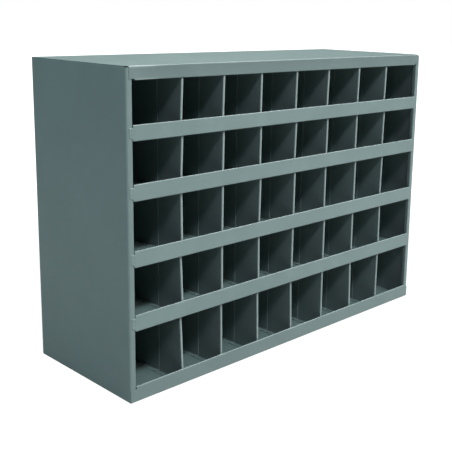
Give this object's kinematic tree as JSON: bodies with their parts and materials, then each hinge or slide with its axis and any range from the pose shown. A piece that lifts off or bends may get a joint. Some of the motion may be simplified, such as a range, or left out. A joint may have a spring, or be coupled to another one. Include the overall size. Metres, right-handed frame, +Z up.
{
  "type": "steel pigeonhole unit",
  "caption": "Free-standing welded steel cabinet of open pigeonholes, with upright dividers and turned-up shelf lips that keep the contents in.",
  "frame": {"origin": "middle of the footprint, on the surface the unit stands on", "axes": "+X to the right along the width, +Y from the open front to the back, +Z up"},
  "size_m": [0.8572, 0.3048, 0.6064],
  "materials": {
    "grey_enamel": "satin baked enamel"
  },
  "bodies": {
    "root": {"back_panel": "grey_enamel", "bottom_panel": "grey_enamel", "divider_front_edges_row_1": "grey_enamel", "divider_front_edges_row_2": "grey_enamel", "divider_front_edges_row_3": "grey_enamel", "divider_front_edges_row_4": "grey_enamel", "divider_front_edges_row_5": "grey_enamel", "divider_web_row_1_column_1": "grey_enamel", "divider_web_row_1_column_2": "grey_enamel", "divider_web_row_1_column_3": "grey_enamel", "divider_web_row_1_column_4": "grey_enamel", "divider_web_row_1_column_5": "grey_enamel", "divider_web_row_1_column_6": "grey_enamel", "divider_web_row_1_column_7": "grey_enamel", "divider_web_row_2_column_1": "grey_enamel", "divider_web_row_2_column_2": "grey_enamel", "divider_web_row_2_column_3": "grey_enamel", "divider_web_row_2_column_4": "grey_enamel", "divider_web_row_2_column_5": "grey_enamel", "divider_web_row_2_column_6": "grey_enamel", "divider_web_row_2_column_7": "grey_enamel", "divider_web_row_3_column_1": "grey_enamel", "divider_web_row_3_column_2": "grey_enamel", "divider_web_row_3_column_3": "grey_enamel", "divider_web_row_3_column_4": "grey_enamel", "divider_web_row_3_column_5": "grey_enamel", "divider_web_row_3_column_6": "grey_enamel", "divider_web_row_3_column_7": "grey_enamel", "divider_web_row_4_column_1": "grey_enamel", "divider_web_row_4_column_2": "grey_enamel", "divider_web_row_4_column_3": "grey_enamel", "divider_web_row_4_column_4": "grey_enamel", "divider_web_row_4_column_5": "grey_enamel", "divider_web_row_4_column_6": "grey_enamel", "divider_web_row_4_column_7": "grey_enamel", "divider_web_row_5_column_1": "grey_enamel", "divider_web_row_5_column_2": "grey_enamel", "divider_web_row_5_column_3": "grey_enamel", "divider_web_row_5_column_4": "grey_enamel", "divider_web_row_5_column_5": "grey_enamel", "divider_web_row_5_column_6": "grey_enamel", "divider_web_row_5_column_7": "grey_enamel", "left_side_panel": "grey_enamel", "right_side_panel": "grey_enamel", "shelf_1": "grey_enamel", "shelf_2": "grey_enamel", "shelf_3": "grey_enamel", "shelf_4": "grey_enamel", "top_panel": "grey_enamel"}
  },
  "joints": []
}
